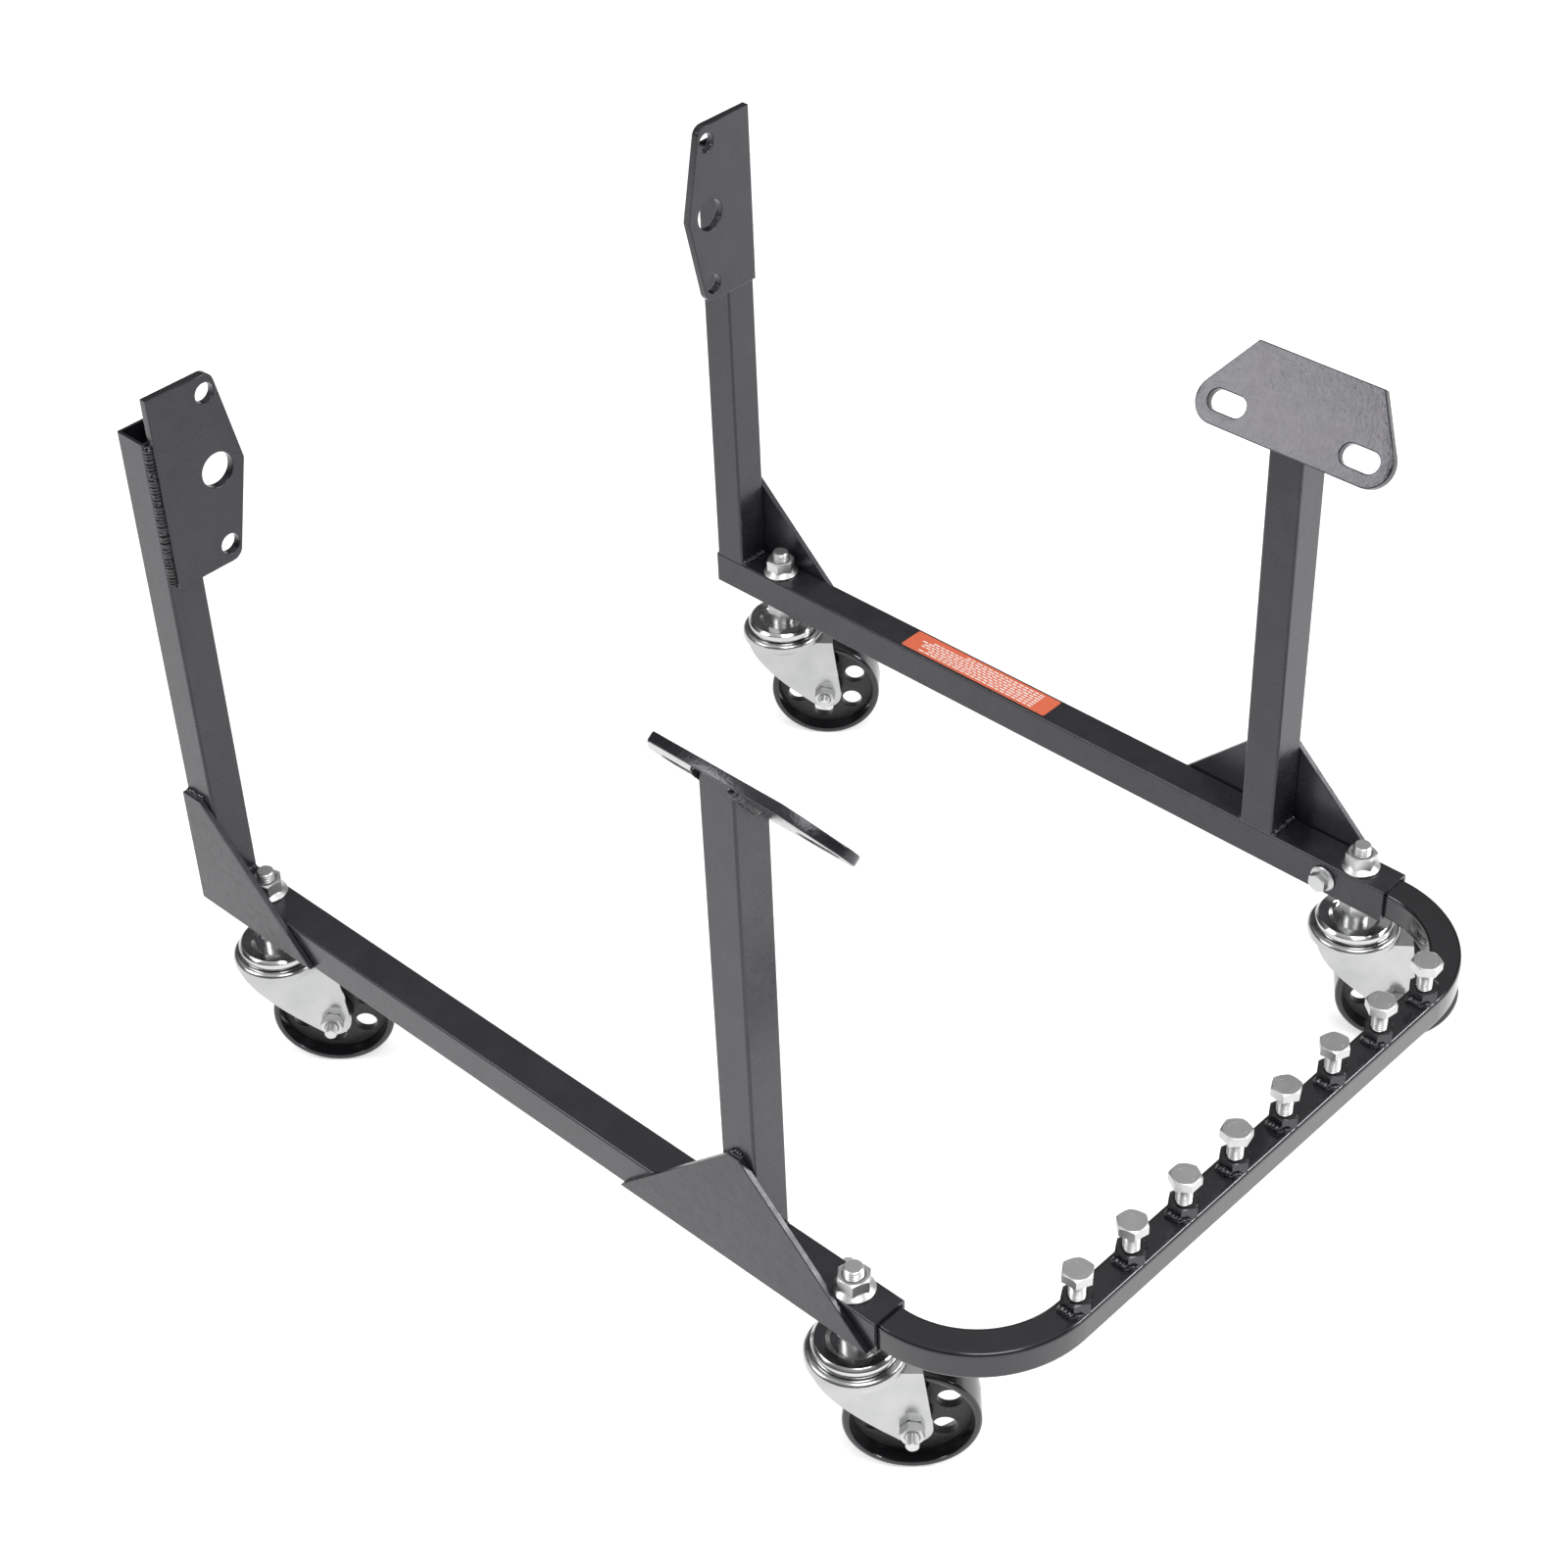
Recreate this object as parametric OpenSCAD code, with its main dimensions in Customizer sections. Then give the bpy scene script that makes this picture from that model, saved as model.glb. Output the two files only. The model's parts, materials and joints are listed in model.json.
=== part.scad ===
// Engine stand on four swivel casters. Two welded side frames of square tube are joined at
// the front by a U bar that slides into the rails and is bolted there. Two plates at the
// rear take the bellhousing face of an engine, two sloping plates at the front take its
// side mounts, and eight spare bolts are stored in nuts welded along the U bar.
// Frame: mm, +Z up, floor at z = 0, the U bar towards -Y, left is -X.

/* [Tubes] */
// Outside width of the square rail and post tube
tube = 25; // [24:0.5:27]
// Wall of the rail and post tube
tube_wall = 2; // [1.5:0.1:2]
// Outside corner radius of the rail and post tube
tube_corner = 1.6; // [0.8:0.1:2.4]
// Outside width of the U bar's square tube
bar = 20; // [18:0.5:20]
// Wall of the U bar
bar_wall = 2; // [1.5:0.1:2]
// Outside corner radius of the U bar's tube
bar_corner = 2.6; // [1.5:0.1:3]

/* [Side frames] */
// Distance between the centre lines of the two rails
track = 480; // [440:5:560]
// Length of each rail
rail_len = 590; // [560:5:680]
// Height of the underside of the rails above the floor
rail_z = 114; // [112:0.5:118]
// Height of the rear posts above the rails
rear_post_h = 331; // [300:1:380]
// Rear end of the rail to the centre line of the rear post
rear_post_in = 13.5; // [13:0.5:20]
// Front end of the rail to the centre line of the front post
front_post_in = 99.5; // [90:0.5:110]

/* [Gussets] */
// Height of the gussets
gusset_h = 88; // [70:1:100]
// Reach of a gusset along the rail from its blunt top
gusset_reach = 93; // [80:1:100]
// Width of the blunt top of a gusset
gusset_top = 8; // [6:0.5:12]
// Thickness of the gussets
gusset_t = 4; // [3:0.5:5]
// Gap between a gusset's lower edge and the underside of the rail
gusset_lift = 2; // [1:0.5:3]

/* [Rear plates] */
// Thickness of the rear and front plates
plate_t = 6; // [5:0.5:8]
// Height of a rear plate
bell_h = 130; // [124:1:140]
// Width of a rear plate at its middle
bell_w = 60.5; // [58:0.5:66]
// Width of a rear plate at its rounded inner corners
bell_end_w = 48.5; // [48.5:0.5:52]
// Radius of a rear plate's inner corners
bell_corner = 8; // [6:0.5:10]
// Height of a rear plate above the top of its post
bell_rise = 30; // [26:1:34]
// Outer face of the post to the outer edge of the rear plate
bell_inset = 3.7; // [3:0.1:5]
// Outer edge of a rear plate to its line of holes
bell_hole_in = 40.5; // [38:0.5:40.5]
// Height between the two small holes of a rear plate
bell_hole_span = 105; // [100:0.5:106]
// Diameter of the small holes of a rear plate
bell_hole_d = 13.2; // [10:0.1:13.2]
// Diameter of the large middle hole of a rear plate
dowel_hole_d = 22.5; // [18:0.5:24]

/* [Front plates] */
// Slope of the front plates below the horizontal, in degrees
mount_slope = 53; // [50:0.5:56]
// Height of the upper edge of a front plate above the rails
mount_rise = 335.8; // [310:0.2:360]
// Length of a front plate down the slope
mount_len = 57.4; // [56:0.2:62]
// Width of a front plate at its upper edge
mount_top_w = 89; // [80:1:100]
// Distance between the centres of the two slots of a front plate
slot_span = 95; // [90:0.5:100]
// Upper edge of a front plate to its line of slots
slot_down = 42; // [40:0.5:43]
// Length of a slot
slot_len = 27; // [20:0.5:30]
// Width of a slot
slot_w = 13.5; // [11:0.5:14]
// Distance a front plate is set forward of its post's centre line
mount_forward = 2.5; // [0:0.5:5]

/* [U bar] */
// Front end of the rails to the centre line of the U bar's front run
bar_reach = 71; // [71:1:110]
// Centre line radius of the bends
bend_r = 70; // [60:1:70]
// Length of each leg of the U bar inside its rail
leg_in = 62; // [60:1:80]
// Front end of the rail to the lock bolt
lock_in = 45; // [43:0.5:50]

/* [Stored bolts] */
// Number of stored bolts
spares = 8; // [2:1:8]
// Distance between stored bolts
spare_pitch = 47.5; // [30:0.5:48]
// Thread diameter of the stored bolts
spare_d = 10; // [8:0.5:10]
// Length of a stored bolt under its head
spare_len = 35; // [30:1:35]
// Height of a stored bolt's head above its nut
spare_up = 13.7; // [12:0.1:20]

/* [Casters] */
// Front end of the rail to the stem of the front caster
stem_front_in = 26; // [20:0.5:28]
// Rear end of the rail to the stem of the rear caster
stem_rear_in = 53.5; // [50:0.5:60]
// Thread diameter of the stems
stem_d = 12; // [10:0.5:12]
// Wheel diameter
wheel_d = 80; // [76:0.5:80]
// Width of the wheel's tread
wheel_w = 24; // [20:0.5:24]
// Distance from the swivel axis to the axle
trail = 31; // [29:0.5:33]
// Angle each caster has swivelled to, front left
swivel_fl = -48; // [-180:1:180]
// Angle of the rear left caster
swivel_rl = -47; // [-180:1:180]
// Angle of the front right caster
swivel_fr = -52; // [-180:1:180]
// Angle of the rear right caster
swivel_rr = -51; // [-180:1:180]

/* [Hidden] */
$fn = 64;
eps = 0.01;
cut = 5;
sides = [-1, 1];

// overall layout; y0 is the rear end of the rails and the origin is the middle of the box
rail_top = rail_z + tube;
bar_z = rail_z + tube / 2;
total_len = rail_len + bar_reach + bar / 2;
y_rear = total_len / 2;
y_front = y_rear - rail_len;
bar_y = y_front - bar_reach;
half_track = track / 2;
face_out = half_track + tube / 2;
rear_post_y = y_rear - rear_post_in;
front_post_y = y_front + front_post_in;
mount_y = front_post_y - mount_forward;
lock_y = y_front + lock_in;

// casters, in the order front left, rear left, front right, rear right
stem_front_y = y_front + stem_front_in;
stem_rear_y = y_rear - stem_rear_in;
FL = 0;
RL = 1;
FR = 2;
RR = 3;
caster_x = [-half_track, -half_track, half_track, half_track];
caster_y = [stem_front_y, stem_rear_y, stem_front_y, stem_rear_y];
caster_a = [swivel_fl, swivel_rl, swivel_fr, swivel_rr];

// fork, race and wheel
axle_z = wheel_d / 2;
crown_r = 30;
crown_fillet = 3.5;
crown_top = rail_z - 21.6;
crown_t = 3;
fork_t = 2.5;
cheek_gap = 14;
cheek_out = cheek_gap + fork_t;
cheek_end_r = 12;
bridge_x = 37.5;
skirt_z = crown_top - 6.4;
flare_z = skirt_z - 10;
flare_r = 17.5;
pivot_r = 6;
run_gap = 0.05;
ball_r = 2.5;
ball_pitch = 20;
balls = 14;
ball_z = crown_top + 1.6;
track_r = ball_r + run_gap;
cap_r = 25.5;
cap_skirt_t = 2.3;
cap_top = crown_top + 7.2;
cap_dish = crown_top + 4.6;
cap_under = crown_top + 3;
cap_hub_under = crown_top + 2.1;
cap_hub_r = 14.5;
rivet_r = 10;
rivet_h = 3.6;
rivet_gap = 0.3;
axle_r = 4;
axle_af = 13;
axle_head = 5.3;
axle_nut = 6.5;
axle_tail = 30;
spacer_r = 6;
hub_r = 10.5;
hub_half = 13.5;
rim_t = 4;
web_t = 6;
web_hole_r = 7.2;
web_holes = 6;
web_pitch = 23.4;
web_phase = 24;
tread_round = 1.5;

// fasteners
stem_r = stem_d / 2;
stem_clear = 0.25;
stem_nut_h = 12;
stem_nut_af = 18;
flange_r = 12.4;
flange_t = 2.4;
flange_taper = 1.2;
stem_tail = 6;
boss_af = 19;
boss_h = 10;
neck_r = 9;
spare_af = 17;
spare_head = 6.4;
weld_nut_h = 8.4;
spare_clear = 0.5;
lock_r = 4;
lock_clear = 0.25;
lock_len = 17;
lock_flange_r = 9;
lock_flange_t = 2;
lock_head = 8;
lock_af = 12;
lock_nut_h = 6.5;
lock_nut_af = 13;
bar_gap = (tube - 2 * tube_wall - bar) / 2;

// sloping plate: outer edge of its upper face, and the plate's rounded inner corners
mount_x = face_out + 0.6;
mount_z = rail_top + mount_rise;
mount_corner = mount_len - slot_down;
mount_ctr = slot_span / 2 + (slot_len - slot_w) / 2;

// rear plates
bell_y = rear_post_y - tube / 2;
bell_x = face_out - bell_inset;
bell_top = rail_top + rear_post_h + bell_rise;
bell_mid = bell_top - bell_h / 2;

// weld beads
bead = 3;
gusset_span = gusset_top / 2 + gusset_reach;
nut_bead = 2.5;
nut_bead_len = 8;

// label on the right rail
label_len = 130;
label_w = 20;
label_t = 0.3;
label_y = y_rear - 245;

// the casters' rest angles decide the box, so the box's middle is worked out here
function reach_x(i) =
    let (c = cos(caster_a[i]))
    let (s = abs(sin(caster_a[i])))
    caster_x[i] + trail * c + wheel_d / 2 * abs(c) + wheel_w / 2 * s
    - tread_round * min(abs(c), s);
x_hi = max(half_track + crown_r, reach_x(FR), reach_x(RR));
x_lo = -half_track - crown_r;
mid_x = (x_hi + x_lo) / 2;

BLACK = [0.05, 0.05, 0.055];
GLOSS = [0.02, 0.02, 0.022];
ZINC = [0.75, 0.76, 0.77];
IRON = [0.04, 0.04, 0.04];
STEEL = [0.6, 0.6, 0.62];
ORANGE = [0.85, 0.33, 0.16];

// ---------- helpers ----------
module stand()
{
    translate([-mid_x, 0, 0])
        children();
}

// geometry is drawn for the left side and mirrored for the right
module on_side(s)
{
    mirror([s > 0 ? 1 : 0, 0, 0])
        children();
}

module at_caster(i)
{
    translate([caster_x[i], caster_y[i], 0])
        children();
}

// local +X is the trailing direction, local Y the axle
module swivelled(i)
{
    at_caster(i)
        rotate([0, 0, caster_a[i]])
            children();
}

module rounded_square(w, r)
{
    square([w, w - 2 * r], center = true);
    square([w - 2 * r, w], center = true);
    for (x = sides)
        for (y = sides)
            translate([x * (w / 2 - r), y * (w / 2 - r)])
                circle(r);
}

module tube_section(w, t, r)
{
    difference()
    {
        rounded_square(w, r);
        rounded_square(w - 2 * t, max(r - t, 0.4));
    }
}

module hex(af, h)
{
    rotate([0, 0, 30])
        cylinder(h = h, r = af / sqrt(3), $fn = 6);
}

// a rail or bar section laid along +Y from y = 0
module along_y(len)
{
    rotate([-90, 0, 0])
        linear_extrude(len)
            children();
}

// quarter-round fillet in the corner of the +X and +Y faces, along Z
module quarter_bead(r, len)
{
    linear_extrude(len)
        intersection()
        {
            circle(r);
            square(r);
        }
}

function tangent_up(p, c, r) =
    let (d = c - p)
    let (len = norm(d))
    let (a = atan2(d[1], d[0]) - asin(r / len))
    p + sqrt(len * len - r * r) * [cos(a), sin(a)];

function bezier(a, b, c, n) =
    [for (i = [0:n]) let (t = i / n) (1 - t) * (1 - t) * a + 2 * t * (1 - t) * b + t * t * c];

function arc(c, r, a0, a1, n) =
    [for (i = [0:n]) let (a = a0 + (a1 - a0) * i / n) c + r * [cos(a), sin(a)]];

// ---------- side frames ----------
module rail(s)
{
    color(BLACK)
        stand()
            on_side(s)
                translate([-half_track, 0, 0])
                    difference()
                    {
                        translate([0, y_front, bar_z])
                            along_y(rail_len)
                                tube_section(tube, tube_wall, tube_corner);
                        for (y = [stem_front_y, stem_rear_y])
                            translate([0, y, rail_z - cut])
                                cylinder(h = tube + 2 * cut, r = stem_r + stem_clear);
                        translate([0, lock_y, bar_z])
                            rotate([0, 90, 0])
                                cylinder(h = tube, r = lock_r + lock_clear);
                    }
}

module left_rail() rail(-1);
module right_rail() rail(1);

module post_column(h)
{
    linear_extrude(h)
        tube_section(tube, tube_wall, tube_corner);
}

module rear_post(s)
{
    color(BLACK)
        stand()
            on_side(s)
                translate([-half_track, rear_post_y, rail_top])
                    post_column(rear_post_h);
}

module rear_post_left() rear_post(-1);
module rear_post_right() rear_post(1);

// frame of a sloping plate: +X down the slope, +Z out of its upper face
module on_slope()
{
    translate([-mount_x, mount_y, mount_z])
        rotate([0, mount_slope, 0])
            children();
}

module front_post(s)
{
    color(BLACK)
        stand()
            on_side(s)
                difference()
                {
                    translate([-half_track, front_post_y, rail_top])
                        post_column(mount_rise + tube);
                    on_slope()
                        translate([-2 * tube, -2 * tube, -plate_t])
                            cube([6 * tube, 4 * tube, 4 * tube]);
                }
}

module front_post_left() front_post(-1);
module front_post_right() front_post(1);

// ---------- gussets ----------
module gusset(s, y, back)
{
    z0 = rail_z + gusset_lift;
    top = gusset_top / 2;
    rear_y = back ? gusset_top / 2 + gusset_reach : rear_post_in - 1;
    blunt = back ? top : rear_post_in - 1;
    color(BLACK)
        stand()
            on_side(s)
                translate([-face_out, y, z0])
                    rotate([90, 0, -90])
                        linear_extrude(gusset_t)
                            polygon([[-rear_y, 0], [top + gusset_reach, 0], [top, gusset_h],
                                [-blunt, gusset_h]]);
}

module front_gusset_left() gusset(-1, front_post_y, true);
module front_gusset_right() gusset(1, front_post_y, true);
module rear_gusset_left() gusset(-1, rear_post_y, false);
module rear_gusset_right() gusset(1, rear_post_y, false);

// ---------- rear plates ----------
// outline with x inwards from the outer edge and y up from the plate's middle
module bell_outline()
{
    half = bell_h / 2;
    c = [bell_end_w - bell_corner, half - bell_corner];
    p = tangent_up([bell_w, 0], c, bell_corner);
    turn = atan2(p[1] - c[1], p[0] - c[0]);
    polygon(concat([[0, -half]], arc([c[0], -c[1]], bell_corner, -90, -turn, 10), [[bell_w, 0]],
        arc(c, bell_corner, turn, 90, 10), [[0, half]]));
}

module bell_plate(s)
{
    color(BLACK)
        stand()
            on_side(s)
                translate([-bell_x, bell_y, bell_mid])
                    rotate([90, 0, 0])
                        linear_extrude(plate_t)
                            difference()
                            {
                                bell_outline();
                                translate([bell_hole_in, 0])
                                    circle(d = dowel_hole_d);
                                for (k = sides)
                                    translate([bell_hole_in, k * bell_hole_span / 2])
                                        circle(d = bell_hole_d);
                            }
}

module bell_plate_left() bell_plate(-1);
module bell_plate_right() bell_plate(1);

// ---------- front plates ----------
module slot()
{
    half = (slot_len - slot_w) / 2;
    square([slot_w, 2 * half], center = true);
    for (k = sides)
        translate([0, k * half])
            circle(d = slot_w);
}

module mount_outline()
{
    top = mount_top_w / 2;
    c = [slot_down, mount_ctr];
    p = tangent_up([0, -top], [slot_down, -mount_ctr], mount_corner);
    polygon([[0, -top], p, [slot_down, -mount_ctr], [mount_len, -mount_ctr],
        [mount_len, mount_ctr], c, [p[0], -p[1]], [0, top]]);
    for (k = sides)
        translate([slot_down, k * mount_ctr])
            circle(mount_corner);
}

module mount_plate(s)
{
    color(BLACK)
        stand()
            on_side(s)
                on_slope()
                    translate([0, 0, -plate_t])
                        linear_extrude(plate_t)
                            difference()
                            {
                                mount_outline();
                                for (k = sides)
                                    translate([slot_down, k * slot_span / 2])
                                        slot();
                            }
}

module mount_plate_left() mount_plate(-1);
module mount_plate_right() mount_plate(1);

// ---------- U bar ----------
module spare_spots()
{
    for (i = [0:spares - 1])
        translate([(i - (spares - 1) / 2) * spare_pitch, bar_y, bar_z + bar / 2])
            children();
}

module bar_section()
{
    tube_section(bar, bar_wall, bar_corner);
}

module u_tube()
{
    leg = bar_reach - bend_r + leg_in;
    color(GLOSS)
        stand()
            difference()
            {
                union()
                {
                    for (s = sides)
                        on_side(s)
                        {
                            translate([-half_track, bar_y + bend_r, bar_z])
                                along_y(leg)
                                    bar_section();
                            translate([bend_r - half_track, bar_y + bend_r, bar_z])
                                rotate([0, 0, 180])
                                    rotate_extrude(angle = 90)
                                        translate([bend_r, 0])
                                            bar_section();
                        }
                    translate([-half_track + bend_r, bar_y, bar_z])
                        rotate([0, 90, 0])
                            linear_extrude(track - 2 * bend_r)
                                bar_section();
                }
                spare_spots()
                    translate([0, 0, -2 * bar_wall])
                        cylinder(h = 3 * bar_wall, r = spare_d / 2 + spare_clear);
                for (x = sides)
                    translate([x * half_track, stem_front_y, rail_z])
                        cylinder(h = tube, r = stem_r + stem_clear);
                for (s = sides)
                    on_side(s)
                        translate([-half_track, lock_y, bar_z])
                            rotate([0, 90, 0])
                                cylinder(h = bar, r = lock_r + lock_clear);
            }
}

module weld_nuts()
{
    color(GLOSS)
        stand()
            spare_spots()
                difference()
                {
                    hex(spare_af, weld_nut_h);
                    translate([0, 0, -cut])
                        cylinder(h = weld_nut_h + 2 * cut, r = spare_d / 2);
                }
}

module storage_bolts()
{
    seat = weld_nut_h + spare_up;
    color(ZINC)
        stand()
            spare_spots()
            {
                translate([0, 0, seat])
                    hex(spare_af, spare_head);
                translate([0, 0, seat - spare_len])
                    cylinder(h = spare_len + eps, r = spare_d / 2);
            }
}

module lock_bolts()
{
    color(ZINC)
        stand()
            for (s = sides)
                on_side(s)
                    translate([tube / 2 - half_track, lock_y, bar_z])
                        rotate([0, 90, 0])
                        {
                            cylinder(h = lock_flange_t, r = lock_flange_r);
                            rotate([0, 0, 30])
                                hex(lock_af, lock_head);
                            translate([0, 0, -lock_len])
                                cylinder(h = lock_len + eps, r = lock_r);
                        }
}

module lock_nuts()
{
    seat = half_track - bar / 2 + bar_wall;
    color(STEEL)
        stand()
            for (s = sides)
                on_side(s)
                    translate([-seat, lock_y, bar_z])
                        rotate([0, -90, 0])
                            difference()
                            {
                                hex(lock_nut_af, lock_nut_h);
                                translate([0, 0, -cut])
                                    cylinder(h = lock_nut_h + 2 * cut, r = lock_r);
                            }
}

module label()
{
    color(ORANGE)
        stand()
            translate([half_track - label_w / 2, label_y - label_len / 2, rail_top])
                cube([label_w, label_len, label_t]);
}

// ---------- weld beads ----------
module gusset_beads(y_low, y_high, y_a, y_b)
{
    z0 = rail_z + gusset_lift;
    translate([-face_out, y_low, z0])
        rotate([-90, 0, 0])
            mirror([1, 0, 0])
                quarter_bead(gusset_lift, y_high - y_low);
    translate([-face_out, y_a, z0 + gusset_h])
        rotate([-90, 0, 0])
            rotate([0, 0, 180])
                quarter_bead(bead, y_b - y_a);
}

module welds(s)
{
    color(GLOSS)
        stand()
            on_side(s)
            {
                // post feet on the rail
                for (q = [[front_post_y, -1], [front_post_y, 1], [rear_post_y, -1]])
                    translate([-half_track - tube / 2 + bead, q[0] + q[1] * tube / 2, rail_top])
                        rotate([90, 0, 90])
                            mirror([q[1] < 0 ? 1 : 0, 0, 0])
                                quarter_bead(bead, tube - 2 * bead);
                // gussets on the rail and on the post
                gusset_beads(front_post_y - gusset_span, front_post_y + gusset_span,
                    front_post_y - gusset_top / 2, front_post_y + gusset_top / 2);
                gusset_beads(rear_post_y - gusset_span, y_rear - 1,
                    rear_post_y - gusset_top / 2, y_rear - 1);
                // rear plate on the post
                translate([-bell_x, bell_y, bell_top - bell_h])
                    rotate([0, 0, 180])
                        quarter_bead(bell_inset, bell_h - bell_rise);
                translate([tube / 2 - half_track, bell_y, bell_top - bell_h])
                    quarter_bead(bead, bell_h - bell_rise);
                // front plate on the post
                for (k = sides)
                    on_slope()
                        translate([mount_x - face_out + 10, mount_forward + k * tube / 2, -plate_t])
                            rotate([0, 90, 0])
                                mirror([0, k < 0 ? 1 : 0, 0])
                                    quarter_bead(bead, tube);
            }
}

module welds_left() welds(-1);
module welds_right() welds(1);

module nut_welds()
{
    color(GLOSS)
        stand()
            spare_spots()
                translate([-spare_af / 2, nut_bead_len / 2, 0])
                    rotate([90, 0, 0])
                        mirror([1, 0, 0])
                            quarter_bead(nut_bead, nut_bead_len);
}

// ---------- casters ----------
module stems()
{
    color(ZINC)
        stand()
            for (i = [FL:RR])
                at_caster(i)
                {
                    translate([0, 0, cap_dish])
                        cylinder(h = rail_top + stem_nut_h + stem_tail - cap_dish, r = stem_r);
                    translate([0, 0, crown_top - crown_t - rivet_gap - rivet_h])
                        cylinder(h = cap_dish - crown_top + crown_t + rivet_gap + rivet_h + eps,
                            r = pivot_r);
                    translate([0, 0, crown_top - crown_t - rivet_gap - rivet_h])
                        cylinder(h = rivet_h, r = rivet_r);
                    translate([0, 0, cap_dish])
                        cylinder(h = rail_z - boss_h - cap_dish + eps, r = neck_r);
                    translate([0, 0, rail_z - boss_h])
                        hex(boss_af, boss_h);
                }
}

module stem_nuts()
{
    color(ZINC)
        stand()
            for (i = [FL:RR])
                at_caster(i)
                    translate([0, 0, rail_top])
                        difference()
                        {
                            union()
                            {
                                cylinder(h = flange_taper, r = flange_r);
                                translate([0, 0, flange_taper - eps])
                                    cylinder(h = flange_t, r1 = flange_r, r2 = stem_nut_af / 2);
                                hex(stem_nut_af, stem_nut_h);
                            }
                            translate([0, 0, -cut])
                                cylinder(h = stem_nut_h + 2 * cut, r = stem_r);
                        }
}

module race_cap(i)
{
    color(ZINC)
        stand()
            at_caster(i)
                rotate_extrude()
                    difference()
                    {
                        polygon([[pivot_r, cap_hub_under], [cap_hub_r, cap_hub_under],
                            [cap_hub_r + 1.5, cap_under], [cap_r - cap_skirt_t, cap_under],
                            [cap_r - cap_skirt_t, crown_top + 0.6], [cap_r, crown_top + 0.6],
                            [cap_r, cap_top - 2], [cap_r - 2, cap_top], [cap_hub_r + 2.5, cap_top],
                            [cap_hub_r, cap_dish], [pivot_r, cap_dish]]);
                        translate([ball_pitch, ball_z])
                            circle(track_r);
                    }
}

module race_cap_fl() race_cap(FL);
module race_cap_rl() race_cap(RL);
module race_cap_fr() race_cap(FR);
module race_cap_rr() race_cap(RR);

module crown()
{
    bend = [crown_r - crown_fillet, crown_top - crown_fillet];
    plate_z = crown_top - crown_t;
    inner = crown_r - fork_t;
    rotate_extrude()
        difference()
        {
            polygon(concat([[pivot_r + run_gap, plate_z], [pivot_r + run_gap, crown_top]],
                arc(bend, crown_fillet, 90, 0, 8),
                [[crown_r, skirt_z], [flare_r, flare_z], [flare_r - fork_t, flare_z],
                [inner, skirt_z + 0.6], [inner, plate_z]]));
            translate([ball_pitch, ball_z])
                circle(track_r);
        }
}

// cheek outline with x along the trail and y up
module cheek_outline()
{
    c = [trail, axle_z];
    low = c + cheek_end_r * [cos(228), sin(228)];
    top = skirt_z + 1;
    tail = [-sqrt(crown_r * crown_r - cheek_out * cheek_out) + 0.6, top];
    polygon(concat(bezier(tail, [-21, flare_z - 12], low, 10), [c, [trail + cheek_end_r, axle_z],
        [bridge_x, top]]));
    translate(c)
        circle(cheek_end_r);
}

module fork(i)
{
    color(ZINC)
        stand()
            swivelled(i)
                difference()
                {
                    union()
                    {
                        difference()
                        {
                            crown();
                            translate([-2 * crown_r, -cheek_gap, 0])
                                cube([4 * crown_r, 2 * cheek_gap, skirt_z]);
                        }
                        for (s = sides)
                            translate([0, (s > 0 ? cheek_out : -cheek_gap), 0])
                                rotate([90, 0, 0])
                                    linear_extrude(fork_t)
                                        cheek_outline();
                        translate([crown_r - 4, -cheek_out, skirt_z - 1.5])
                            cube([bridge_x - crown_r + 4, 2 * cheek_out, fork_t]);
                    }
                    translate([trail, 0, axle_z])
                        rotate([90, 0, 0])
                            cylinder(h = 4 * cheek_out, r = axle_r, center = true);
                }
}

module fork_fl() fork(FL);
module fork_rl() fork(RL);
module fork_fr() fork(FR);
module fork_rr() fork(RR);

module race_balls(i)
{
    color(STEEL)
        stand()
            swivelled(i)
                for (k = [0:balls - 1])
                    rotate([0, 0, 360 * k / balls])
                        translate([ball_pitch, 0, ball_z])
                            sphere(ball_r);
}

module balls_fl() race_balls(FL);
module balls_rl() race_balls(RL);
module balls_fr() race_balls(FR);
module balls_rr() race_balls(RR);

module axle_bolt(i)
{
    color(ZINC)
        stand()
            swivelled(i)
                translate([trail, cheek_out, axle_z])
                    rotate([90, 0, 0])
                    {
                        translate([0, 0, -axle_head])
                            hex(axle_af, axle_head);
                        translate([0, 0, -eps])
                            cylinder(h = cheek_out + axle_tail + eps, r = axle_r);
                    }
}

module axle_bolt_fl() axle_bolt(FL);
module axle_bolt_rl() axle_bolt(RL);
module axle_bolt_fr() axle_bolt(FR);
module axle_bolt_rr() axle_bolt(RR);

module axle_nut(i)
{
    color(ZINC)
        stand()
            swivelled(i)
                translate([trail, -cheek_out, axle_z])
                    rotate([90, 0, 0])
                        difference()
                        {
                            hex(axle_af, axle_nut);
                            translate([0, 0, -cut])
                                cylinder(h = axle_nut + 2 * cut, r = axle_r);
                        }
}

module axle_nut_fl() axle_nut(FL);
module axle_nut_rl() axle_nut(RL);
module axle_nut_fr() axle_nut(FR);
module axle_nut_rr() axle_nut(RR);

module spacer(i)
{
    color(STEEL)
        stand()
            swivelled(i)
                translate([trail, cheek_gap, axle_z])
                    rotate([90, 0, 0])
                        difference()
                        {
                            cylinder(h = 2 * cheek_gap, r = spacer_r);
                            translate([0, 0, -cut])
                                cylinder(h = 2 * cheek_gap + 2 * cut, r = axle_r);
                        }
}

module spacer_fl() spacer(FL);
module spacer_rl() spacer(RL);
module spacer_fr() spacer(FR);
module spacer_rr() spacer(RR);

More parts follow.
